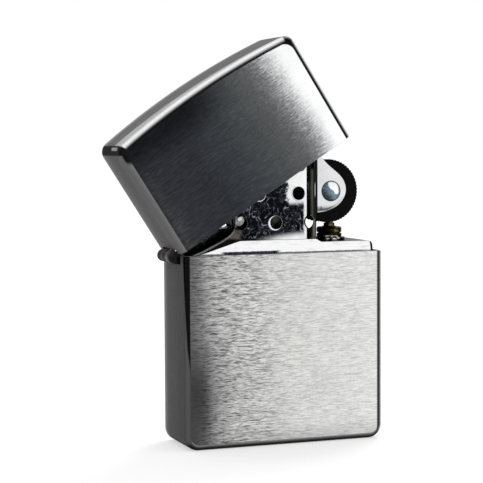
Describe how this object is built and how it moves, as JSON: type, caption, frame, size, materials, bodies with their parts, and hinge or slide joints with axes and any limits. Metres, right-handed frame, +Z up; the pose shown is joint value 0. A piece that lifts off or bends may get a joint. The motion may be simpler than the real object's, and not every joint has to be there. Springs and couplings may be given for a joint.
{
  "type": "flip-top petrol lighter",
  "caption": "Windproof flip-top petrol lighter: brushed metal case with hinged lid, perforated chimney, striker wheel and flint feed; lid part open.",
  "frame": {"origin": "centre of the case's flat bottom face", "axes": "+Z up, +X across the width away from the hinge, -Y towards the front face"},
  "size_m": [0.0495, 0.0128, 0.0731],
  "materials": {
    "case_metal": "brushed chrome-plated brass sheet, fine streaks across the width",
    "insert_metal": "bright plated steel with fine scratches",
    "hinge_metal": "bright plated steel, rolled knuckles",
    "rivet_metal": "polished steel rivet heads",
    "spring_steel": "spring steel",
    "striker_steel": "blackened hardened steel with filed teeth",
    "brass": "turned brass",
    "flint": "ferrocerium rod",
    "wick_cotton": "braided cotton wick",
    "copper_wire": "thin copper wire",
    "felt": "pressed felt",
    "packing": "rayon fibre balls"
  },
  "bodies": {
    "case": {"case_body": "case_metal", "hinge_leaf_lower": "hinge_metal", "hinge_pin": "hinge_metal", "tank_shell": "insert_metal", "chimney": "insert_metal", "wheel_rivet": "rivet_metal", "cam_rivet": "rivet_metal", "cam_spring": "spring_steel", "flint_tube": "brass", "flint_tube_nut": "brass", "flint_spring": "spring_steel", "wick": "wick_cotton", "wick_wire": "copper_wire", "felt_pad": "felt", "cotton_ball_1": "packing", "cotton_ball_2": "packing", "cotton_ball_3": "packing", "cotton_ball_4": "packing", "cotton_ball_5": "packing"},
    "lid": {"case_lid": "case_metal", "hinge_leaf_upper": "hinge_metal"},
    "wheel": {"striker_wheel": "striker_steel"},
    "cam": {"cam_lever": "insert_metal"},
    "flint_feed": {"flint": "flint", "flint_pusher": "brass"},
    "screw": {"flint_screw": "brass"}
  },
  "joints": [
    {"name": "lid_hinge", "type": "hinge", "parent": "case", "child": "lid", "pos_m": [-0.01976, 0, 0.03416], "axis": [0, -1, 0], "range_deg": [-32.6, 80]},
    {"name": "wheel_spin", "type": "hinge", "parent": "case", "child": "wheel", "pos_m": [0.01, 0, 0.0454], "axis": [0, 1, 0], "continuous": true},
    {"name": "cam_swing", "type": "hinge", "parent": "case", "child": "cam", "pos_m": [-0.0072, 0, 0.0403], "axis": [0, 1, 0], "range_deg": [-6, 5], "stiffness_Nm_per_rad": 0.002},
    {"name": "flint_slide", "type": "slide", "parent": "case", "child": "flint_feed", "axis": [0, 0, 1], "range_m": [-0.0015, 0], "stiffness_N_per_m": 60, "deforming": ["flint_spring"]},
    {"name": "screw_turn", "type": "hinge", "parent": "case", "child": "screw", "pos_m": [0.01115, 0, 0.0015], "axis": [0, 0, 1], "continuous": true}
  ]
}
